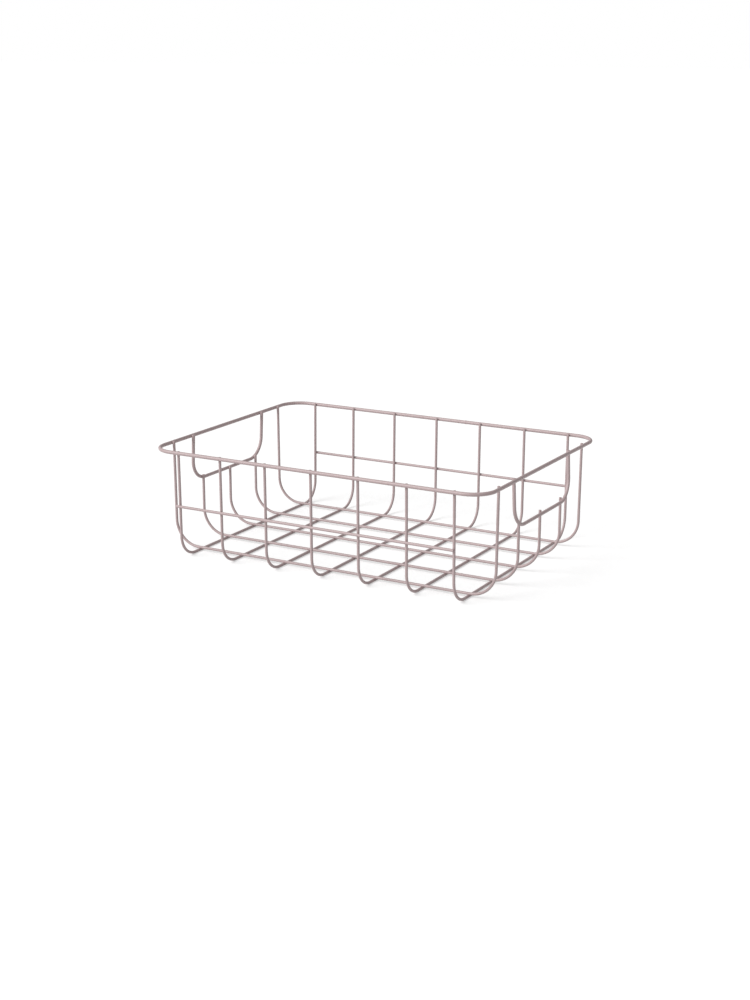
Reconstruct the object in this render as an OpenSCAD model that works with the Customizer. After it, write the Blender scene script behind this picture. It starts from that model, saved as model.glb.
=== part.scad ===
// Wire locker basket of bent and resistance-welded steel wire, powder coated.
// Every diameter is over the coating. The origin is at the middle of the footprint, on the plane
// that the basket rests on: X runs along its length, Y towards its back and Z up.

/* [Overall size] */
// Length over the rim wire
basket_length = 400; // [380:1:480]
// Width over the rim wire
basket_width = 290; // [260:1:360]
// Height from the resting plane to the top of the rim
basket_height = 120; // [110:1:180]

/* [Wire] */
// Diameter of the rim wire
rim_wire_d = 4; // [3.4:0.1:6]
// Diameter of the handle wire
handle_wire_d = 3.7; // [3.2:0.1:5]
// Diameter of the floor, wall and rail wires
grid_wire_d = 3; // [2.4:0.1:4]

/* [Bends] */
// Radius of the rim's corners, to the middle of the wire
rim_corner_r = 25; // [15:0.5:30]
// Radius of the cross wires' bends, to the middle of the wire
cross_bend_r = 24; // [16:0.5:30]
// Radius of the long wires' bends, to the middle of the wire
long_bend_r = 28; // [20:0.5:32]
// Radius of the handles' lower corners, to the middle of the wire
handle_bend_r = 23; // [12:0.5:26]
// How much further in the long sides stand at the floor than at the rim
side_taper = 1.5; // [0:0.1:8]
// How much further in the short ends stand at the floor than at the rim
end_taper = 1.1; // [0:0.1:8]

/* [Grid] */
// Outer cross wires: flat run of the long wires left beyond the middle of the cross wire
cross_edge = 1.8; // [1.2:0.1:12]
// Outer long wires: flat run of the cross wires left beyond the middle of the long wire
long_edge = 9.7; // [1.2:0.1:16]
// How much narrower the outermost gaps between cross wires are than the inner ones
cross_gap_less = 2.5; // [0:0.1:8]
// How much narrower the outermost gaps between long wires are than the inner ones
long_gap_less = 1; // [0:0.1:8]

/* [Rails and handles] */
// Height of the middle of the side rails over the resting plane
rail_height = 59; // [40:0.5:90]
// How far a rail's ends stand past the outer cross wires
rail_overhang = 0.5; // [0:0.1:6]
// How far the front rail sits off the middle, to the right
front_rail_shift = -1.2; // [-1.2:0.1:1.2]
// Width of a handle between the middles of its legs
handle_width = 138; // [124:1:180]
// Depth of a handle from the middle of the rim to the middle of its bar
handle_drop = 51; // [36:0.5:60]

/* [Welds and wire ends] */
// How far two crossing wires are pressed into each other at a weld
weld_set_down = 0.4; // [0.2:0.05:0.6]
// How far a weld's collar of pressed-out steel stays inside the sides of the thin wire
weld_collar_inset = 0.25; // [0.1:0.05:0.6]
// How far the ring at the rim's butt weld stands proud of the wire
butt_weld_h = 0.25; // [0.1:0.05:0.6]
// Length of the ring at the rim's butt weld
butt_weld_length = 2.6; // [1:0.1:5]
// Distance of the rim's butt weld from the middle of the back side
butt_weld_x = 36; // [32:1:48]
// Ends of the cross wires below the top of the rim
cross_tip_drop = 0.6; // [0.4:0.1:2]
// Ends of the outer long wires below the top of the rim
long_tip_drop = 0.2; // [0.1:0.1:2]
// Ends of the handle legs below the top of the rim
handle_tip_drop = 0.5; // [0.4:0.1:2]
// Ends of the inner long wires above the handle bar
bar_tip_rise = 1.1; // [0.4:0.1:6]
// Rounding that the coating gives to the edge of a cut wire end
end_round = 0.35; // [0.1:0.05:0.8]

/* [Hidden] */
$fn = 32;
coat_colour = "RosyBrown";

// How far the ball that joins a leaning leg to its bend stands proud of the wire
joint_h = 0.01;

// Wire radii
rim_r = rim_wire_d / 2;
handle_r = handle_wire_d / 2;
grid_r = grid_wire_d / 2;

// Distances between the middles of two wires that are welded across each other
grid_on_grid = 2 * grid_r - weld_set_down;
grid_on_rim = grid_r + rim_r - weld_set_down;
grid_on_handle = grid_r + handle_r - weld_set_down;
handle_on_rim = handle_r + rim_r - weld_set_down;
collar_r = grid_r - weld_collar_inset;

// Rim: the rectangle of its middle line
rim_x = basket_length / 2 - rim_r;
rim_y = basket_width / 2 - rim_r;
rim_z = basket_height - rim_r;

// Cross wires: their legs lean out to the inside of the rim's long sides
cross_z = grid_r;
cross_top_y = rim_y - grid_on_rim;
cross_foot_y = cross_top_y - side_taper;
cross_lean = atan(side_taper / (rim_z - cross_z));
cross_flat_y = cross_foot_y - setback(cross_bend_r, cross_lean);

// Long wires: they lie on the cross wires, and the legs of the outer two lean out to the rim's short sides
long_z = cross_z + grid_on_grid;
long_top_x = rim_x - grid_on_rim;
long_foot_x = long_top_x - end_taper;
long_lean = atan(end_taper / (rim_z - long_z));
long_flat_x = long_foot_x - long_bend_r;

// Handles: legs welded inside the rim, bar outside the inner long wires, whose legs stand upright
bar_z = rim_z - handle_drop;
bar_x = long_foot_x + grid_on_handle;
handle_top_x = rim_x - handle_on_rim;
handle_lean = atan((bar_x - handle_top_x) / handle_drop);
bar_flat_y = handle_width / 2 - handle_bend_r;

// Places of the cross wires along X and of the long wires along Y, from the first to the last
cross_half_count = 3;
long_half_count = 2;
cross_end_x = long_flat_x - cross_edge;
long_end_y = cross_flat_y - long_edge;
cross_xs = places(cross_half_count, cross_end_x, cross_gap_less);
long_ys = places(long_half_count, long_end_y, long_gap_less);

// Rails: outside the legs of the cross wires
rail_y = cross_foot_y + (rail_height - cross_z) * tan(cross_lean) + grid_on_grid / cos(cross_lean);
rail_half_length = cross_end_x + grid_r + rail_overhang;

// Even places on both sides of the middle, the outermost gaps narrower than the others
function places(half_count, end, gap_less) =
    let (pitch = (end + gap_less) / half_count)
    [for (k = [-half_count:half_count]) abs(k) == half_count ? sign(k) * end : k * pitch];

// A length to the nearest micrometre, so that a straight run and a bend meet exactly
function to_micron(length) = round(length * 1000) / 1000;

// Length of straight wire that a bend of this radius takes from a corner whose leg leans out
function setback(bend_r, lean) = bend_r * tan((90 - lean) / 2);

// Height of the middle of a handle's bar at a distance from its middle, also where its corner rises
function bar_height(y) =
    let (in_bend = max(0, abs(y) - bar_flat_y))
    bar_z + handle_bend_r - sqrt(pow(handle_bend_r, 2) - pow(in_bend, 2));

// Cut end of a wire, from z = 0 up to z = end_round
module wire_end(wire_r) {
    rotate_extrude() {
        square([wire_r - end_round, end_round]);
        translate([wire_r - end_round, 0]) intersection() {
            circle(end_round);
            square(end_round);
        }
    }
}

// Straight wire from z = 0 up to its cut end
module straight_wire(wire_r, length) {
    cylinder(r = wire_r, h = length - end_round);
    translate([0, 0, length - end_round]) wire_end(wire_r);
}

// Wire bent up at both ends, in the XZ plane, the middle of its floor run at the origin. run_half reaches
// from there to the corner that the floor run and a leg would make unbent, and leg from that corner to the
// cut end. Where the legs lean out, a ball in the wire joins each of them to its bend.
module bent_wire(wire_r, bend_r, run_half, lean, leg) {
    back = setback(bend_r, lean);
    flat_half = to_micron(run_half - back);
    rotate([0, 90, 0]) cylinder(r = wire_r, h = 2 * flat_half, center = true);
    for (side = [0, 1]) mirror([side, 0, 0]) translate([flat_half, 0, bend_r]) {
        rotate([90, 0, 0])
            rotate([0, 0, -90])
            rotate_extrude(angle = 90 - lean) translate([bend_r, 0]) circle(wire_r);
        rotate([0, lean, 0]) translate([bend_r, 0, 0]) {
            straight_wire(wire_r, leg - back);
            if (lean > 0) sphere(wire_r + joint_h);
        }
    }
}

// Collar of steel pressed out round a weld: from the middle of one wire, along z, to that of the other
module weld_collar(distance) {
    cylinder(r = collar_r, h = distance);
}

// Rim ring without its butt weld
module rim_ring() {
    flat_x = rim_x - rim_corner_r;
    flat_y = rim_y - rim_corner_r;
    for (side = [-1, 1]) {
        translate([0, side * rim_y, rim_z])
            rotate([0, 90, 0]) cylinder(r = rim_r, h = 2 * flat_x, center = true);
        translate([side * rim_x, 0, rim_z])
            rotate([90, 0, 0]) cylinder(r = rim_r, h = 2 * flat_y, center = true);
    }
    for (corner = [0:3]) {
        turn = corner * 90;
        across = corner == 0 || corner == 3 ? 1 : -1;
        along = corner < 2 ? 1 : -1;
        translate([across * flat_x, along * flat_y, rim_z])
            rotate([0, 0, turn])
            rotate_extrude(angle = 90) translate([rim_corner_r, 0]) circle(rim_r);
    }
}

// Ring of pressed-out steel where the rim wire's two ends are butt-welded, a shallow barrel along z
module butt_weld() {
    half = butt_weld_length / 2;
    barrel_r = (pow(half, 2) + pow(butt_weld_h, 2)) / (2 * butt_weld_h);
    rotate_extrude() intersection() {
        translate([rim_r + butt_weld_h - barrel_r, 0]) circle(barrel_r);
        translate([0, -half]) square([rim_r + butt_weld_h, butt_weld_length]);
    }
}

module rim() {
    color(coat_colour) {
        rim_ring();
        translate([butt_weld_x, rim_y, rim_z]) rotate([0, 90, 0]) butt_weld();
    }
}

// Handle at the right-hand end before it is seated: its plane leans out so that the bar clears the inner wires
module handle_wire() {
    leg = (handle_drop + rim_r - handle_tip_drop) / cos(handle_lean);
    translate([bar_x, 0, bar_z])
        rotate([0, -handle_lean, 0])
        rotate([0, 0, 90])
        bent_wire(handle_r, handle_bend_r, handle_width / 2, 0, leg);
}

// One handle, its leg ends seated in the rim; side is -1 for the left-hand end and 1 for the right-hand one
module handle(side) {
    color(coat_colour) mirror([side < 0 ? 1 : 0, 0, 0]) difference() {
        union() {
            handle_wire();
            for (end = [-1, 1])
                translate([handle_top_x, end * handle_width / 2, rim_z])
                    rotate([0, 90, 0]) weld_collar(handle_on_rim);
        }
        rim_ring();
    }
}

// Cross wire before it is seated in the rim
module cross_wire_blank(x) {
    leg = (basket_height - cross_tip_drop - cross_z) / cos(cross_lean);
    translate([x, 0, cross_z])
        rotate([0, 0, 90])
        bent_wire(grid_r, cross_bend_r, cross_foot_y, cross_lean, leg);
}

// One cross wire, its ends seated in the rim
module cross_wire(index) {
    x = cross_xs[index];
    color(coat_colour) difference() {
        union() {
            cross_wire_blank(x);
            for (end = [-1, 1])
                translate([x, end * cross_top_y, rim_z])
                    rotate([-end * 90, 0, 0]) weld_collar(grid_on_rim);
        }
        rim_ring();
    }
}

// One long wire, seated on the cross wires and at each end in the rim or in the handle bar
module long_wire(index) {
    y = long_ys[index];
    outer = abs(index - long_half_count) == long_half_count;
    lean = outer ? long_lean : 0;
    seat_x = outer ? long_top_x : long_foot_x;
    seat_z = outer ? rim_z : bar_height(y);
    end_z = outer ? basket_height - long_tip_drop : seat_z + handle_r + bar_tip_rise;
    color(coat_colour) difference() {
        union() {
            translate([0, y, long_z])
                bent_wire(grid_r, long_bend_r, long_foot_x, lean, (end_z - long_z) / cos(lean));
            for (x = cross_xs)
                translate([x, y, cross_z]) weld_collar(grid_on_grid);
            for (end = [-1, 1])
                translate([end * seat_x, y, seat_z])
                    rotate([0, end * 90, 0]) weld_collar(outer ? grid_on_rim : grid_on_handle);
        }
        for (x = cross_xs)
            translate([x, y, cross_z])
                rotate([90, 0, 0]) cylinder(r = grid_r, h = 4 * grid_wire_d, center = true);
        if (outer) rim_ring();
        else for (side = [0, 1]) mirror([side, 0, 0]) handle_wire();
    }
}

// One side rail, seated on the legs of the cross wires; side is -1 for the front and 1 for the back,
// and shift moves the wire itself along its welds
module rail(side, shift) {
    color(coat_colour) mirror([0, side < 0 ? 1 : 0, 0]) difference() {
        union() {
            for (end = [0, 1]) mirror([end, 0, 0])
                translate([0, rail_y, rail_height])
                    rotate([0, 90, 0]) straight_wire(grid_r, rail_half_length + (end == 0 ? shift : -shift));
            for (x = cross_xs)
                translate([x, rail_y, rail_height])
                    rotate([90 - cross_lean, 0, 0]) weld_collar(grid_on_grid);
        }
        for (x = cross_xs)
            translate([x, cross_foot_y, cross_z])
                rotate([-cross_lean, 0, 0])
                translate([0, 0, rail_height - cross_z])
                cylinder(r = grid_r, h = 4 * grid_wire_d, center = true);
    }
}

rim();
handle(-1);  // handle_left
handle(1);  // handle_right
for (index = [0:2 * cross_half_count])
    cross_wire(index);
for (index = [0:2 * long_half_count])
    long_wire(index);
rail(-1, front_rail_shift);  // front_rail
rail(1, 0);  // back_rail
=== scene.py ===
"""Looks of a wire basket: bent and resistance-welded steel wire with a satin powder coat.

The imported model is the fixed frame, in metres: X along the basket's length, Y towards its back and Z up.
"""

import math

import bpy
from mathutils import Matrix, Vector

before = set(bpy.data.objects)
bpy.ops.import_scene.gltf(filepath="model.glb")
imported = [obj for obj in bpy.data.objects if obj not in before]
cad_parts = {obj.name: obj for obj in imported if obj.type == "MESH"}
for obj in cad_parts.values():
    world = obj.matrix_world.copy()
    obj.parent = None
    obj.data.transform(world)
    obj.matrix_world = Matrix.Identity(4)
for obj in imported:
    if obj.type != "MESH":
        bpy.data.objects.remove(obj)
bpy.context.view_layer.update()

MM = 0.001

# The photograph, and the camera fitted to it
IMAGE_WIDTH = 750
IMAGE_HEIGHT = 1000
SENSOR = 36
FOCAL_PX = 1692.6
CENTRE_PX = (380.35, 501.57)
PITCH = math.radians(15.29)
YAW = math.radians(29.12)
ROLL = math.radians(-0.107)
TARGET_HEIGHT = 60 * MM
TARGET_OFFSET = (-3.19 * MM, -6.88 * MM)
DISTANCE = 1853.5 * MM
CAMERA_REACH = 50

# The stage: a floor far larger than the basket, and even light from all round
FLOOR_SIZE = 60.0
FLOOR_COLOUR = "#DCDCDC"
FLOOR_LIFT = 0.4
WORLD_COLOUR = "#FFFFFF"
WORLD_STRENGTH = 0.42
WORLD_STRENGTH_SEEN = 1.0

# The key light: where it shines from, the angle in degrees that it fills, and its strength
KEY_FROM = (-0.75, -1.0, 0.9)
KEY_ANGLE = 40
KEY_STRENGTH = 2.7

# Powder coat, from the photograph
COAT_COLOUR = "#B9A6A6"
COAT_COLOUR_DEEP = "#B09C9C"
COAT_ROUGHNESS = 0.42
COAT_IOR = 1.5
ORANGE_PEEL = 0.9 * MM
ORANGE_PEEL_DEPTH = 0.012 * MM
ORANGE_PEEL_DETAIL = 1
TONE_PATCH = 45 * MM
TONE_DETAIL = 2

# The mix node's sockets for colours, which share their names with its sockets for numbers
MIX_FIRST = 6
MIX_SECOND = 7
MIX_RESULT = 2


def linear(hex_colour):
    """An sRGB hex colour as the linear RGBA that a shader takes."""
    values = [int(hex_colour[i:i + 2], 16) / 255 for i in (1, 3, 5)]
    return [v / 12.92 if v <= 0.04045 else ((v + 0.055) / 1.055) ** 2.4 for v in values] + [1]


def add_node(tree, kind, settings=None, **links):
    """Adds a node, sets its properties and input values, and links its inputs from other nodes' sockets."""
    node = tree.nodes.new(kind)
    for name, value in (settings or {}).items():
        if name in node.inputs:
            node.inputs[name].default_value = value
        else:
            setattr(node, name, value)
    for name, socket in links.items():
        tree.links.new(socket, node.inputs[name.replace("_", " ")])
    return node


def new_material(name):
    """A new material with an empty node tree."""
    material = bpy.data.materials.new(name)
    material.use_nodes = True
    tree = material.node_tree
    tree.nodes.clear()
    return material, tree


def satin_powder_coat():
    """Powder baked on steel wire: an even satin colour, a soft wide highlight and faint orange peel."""
    material, tree = new_material("satin_powder_coat")
    place = add_node(tree, "ShaderNodeTexCoord").outputs["Object"]

    # Slow drift in tone, as the powder lies a little thicker or thinner along a wire
    drift = {"Scale": 1 / TONE_PATCH, "Detail": TONE_DETAIL}
    tone = add_node(tree, "ShaderNodeTexNoise", drift, Vector=place)
    colour = add_node(tree, "ShaderNodeMix", {"data_type": "RGBA"}, Factor=tone.outputs["Fac"])
    colour.inputs[MIX_FIRST].default_value = linear(COAT_COLOUR)
    colour.inputs[MIX_SECOND].default_value = linear(COAT_COLOUR_DEEP)

    # Orange peel: a shallow swell about as wide as the real one
    swell = {"Scale": 1 / ORANGE_PEEL, "Detail": ORANGE_PEEL_DETAIL}
    peel = add_node(tree, "ShaderNodeTexNoise", swell, Vector=place)
    bump = add_node(tree, "ShaderNodeBump", {"Strength": 1, "Distance": ORANGE_PEEL_DEPTH},
                    Height=peel.outputs["Fac"])

    coat = add_node(tree, "ShaderNodeBsdfPrincipled", {"Roughness": COAT_ROUGHNESS, "IOR": COAT_IOR},
                    Base_Color=colour.outputs[MIX_RESULT], Normal=bump.outputs["Normal"])
    add_node(tree, "ShaderNodeOutputMaterial", Surface=coat.outputs["BSDF"])
    return material


def white_studio_floor():
    """Matt white paper: seen by the camera it is lifted to white, and it still takes the basket's shadow."""
    material, tree = new_material("matt_white_paper")
    paper = add_node(tree, "ShaderNodeBsdfDiffuse", {"Color": linear(FLOOR_COLOUR)})
    path = add_node(tree, "ShaderNodeLightPath")
    seen = add_node(tree, "ShaderNodeMath", {"operation": "MAXIMUM"})
    tree.links.new(path.outputs["Is Camera Ray"], seen.inputs[0])
    tree.links.new(path.outputs["Is Glossy Ray"], seen.inputs[1])
    lift = add_node(tree, "ShaderNodeMath", {"operation": "MULTIPLY"})
    tree.links.new(seen.outputs[0], lift.inputs[0])
    lift.inputs[1].default_value = FLOOR_LIFT
    glow = add_node(tree, "ShaderNodeEmission", {}, Strength=lift.outputs[0])
    both = add_node(tree, "ShaderNodeAddShader")
    tree.links.new(paper.outputs[0], both.inputs[0])
    tree.links.new(glow.outputs[0], both.inputs[1])
    add_node(tree, "ShaderNodeOutputMaterial", Surface=both.outputs[0])
    return material


def coat_the_wires():
    """Gives every wire of the frame the powder coat."""
    coat = satin_powder_coat()
    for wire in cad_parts.values():
        wire.data.materials.clear()
        wire.data.materials.append(coat)


def lay_floor():
    """A wide floor on the plane that the basket rests on."""
    bpy.ops.object.select_all(action="DESELECT")
    bpy.ops.mesh.primitive_plane_add(size=FLOOR_SIZE)
    floor = bpy.context.object
    floor.name = "floor"
    floor.data.materials.append(white_studio_floor())


def light_world():
    """Even white light from all round, which the camera sees as plain white."""
    world = bpy.data.worlds.new("studio")
    bpy.context.scene.world = world
    world.use_nodes = True
    tree = world.node_tree
    tree.nodes.clear()
    path = add_node(tree, "ShaderNodeLightPath")
    levels = {"To Min": WORLD_STRENGTH, "To Max": WORLD_STRENGTH_SEEN}
    strength = add_node(tree, "ShaderNodeMapRange", levels, Value=path.outputs["Is Camera Ray"])
    glow = add_node(tree, "ShaderNodeBackground", {"Color": linear(WORLD_COLOUR)},
                    Strength=strength.outputs["Result"])
    add_node(tree, "ShaderNodeOutputWorld", Surface=glow.outputs[0])


def hang_lamp(name, shines_from, angle, strength):
    """A wide, far soft box: the direction that it shines from, and the angle in degrees that it fills."""
    lamp = bpy.data.lights.new(name, "SUN")
    lamp.angle = math.radians(angle)
    lamp.energy = strength
    holder = bpy.data.objects.new(name, lamp)
    bpy.context.scene.collection.objects.link(holder)
    holder.rotation_euler = Vector(shines_from).to_track_quat("Z", "Y").to_euler()


def place_camera():
    """The camera at the photograph's viewpoint, with the picture's centre shifted to the fitted one."""
    back = Vector((math.sin(YAW) * math.cos(PITCH), -math.cos(YAW) * math.cos(PITCH), math.sin(PITCH)))
    level = Vector((math.cos(YAW), math.sin(YAW), 0))
    down = level.cross(back)
    right = level * math.cos(ROLL) + down * math.sin(ROLL)
    down = right.cross(back)
    target = Vector((0, 0, TARGET_HEIGHT))
    centre = target - right * TARGET_OFFSET[0] - down * TARGET_OFFSET[1] + back * DISTANCE

    lens = bpy.data.cameras.new("camera")
    lens.sensor_fit = "VERTICAL"
    lens.sensor_height = SENSOR
    lens.lens = SENSOR * FOCAL_PX / IMAGE_HEIGHT
    lens.shift_x = (IMAGE_WIDTH / 2 - CENTRE_PX[0]) / IMAGE_HEIGHT
    lens.shift_y = (CENTRE_PX[1] - IMAGE_HEIGHT / 2) / IMAGE_HEIGHT
    lens.clip_end = CAMERA_REACH
    camera = bpy.data.objects.new("camera", lens)
    bpy.context.scene.collection.objects.link(camera)
    camera.matrix_world = Matrix.Translation(centre) @ Matrix((right, -down, back)).transposed().to_4x4()
    bpy.context.scene.camera = camera


coat_the_wires()
lay_floor()
light_world()
hang_lamp("key", KEY_FROM, KEY_ANGLE, KEY_STRENGTH)
place_camera()
bpy.context.scene.view_settings.view_transform = "Standard"
